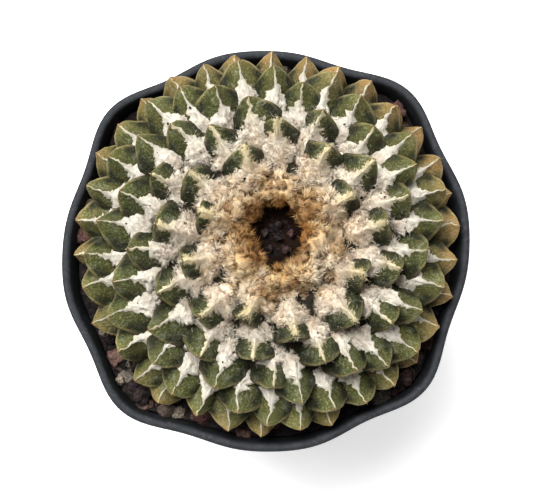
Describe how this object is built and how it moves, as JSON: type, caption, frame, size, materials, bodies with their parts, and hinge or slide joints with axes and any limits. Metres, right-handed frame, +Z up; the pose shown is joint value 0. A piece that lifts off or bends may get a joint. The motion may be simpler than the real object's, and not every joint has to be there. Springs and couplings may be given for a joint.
{
  "type": "potted cactus",
  "caption": "Living rock cactus: a flat spiral rosette of pyramid tubercles with woolly furrows, in a soft square nursery pot with dark grit.",
  "frame": {"origin": "middle of the pot's flat underside, on the surface that the pot stands on", "axes": "+Z up, the longest extent; X and Y run across the pot's flats, and +Y is the top of the picture"},
  "size_m": [0.0998, 0.0986, 0.1135],
  "materials": {
    "cactus_skin": "matte",
    "cactus_wool": "matte",
    "pot_plastic": "satin",
    "grit": "matte",
    "scoria": "matte"
  },
  "bodies": {
    "root": {"cactus": "cactus_skin", "crown_wool": "cactus_wool", "pot": "pot_plastic", "soil": "grit", "crown_stone_1": "scoria", "crown_stone_2": "scoria", "crown_stone_3": "scoria", "crown_stone_4": "scoria", "crown_stone_5": "scoria", "crown_stone_6": "scoria"}
  },
  "joints": []
}
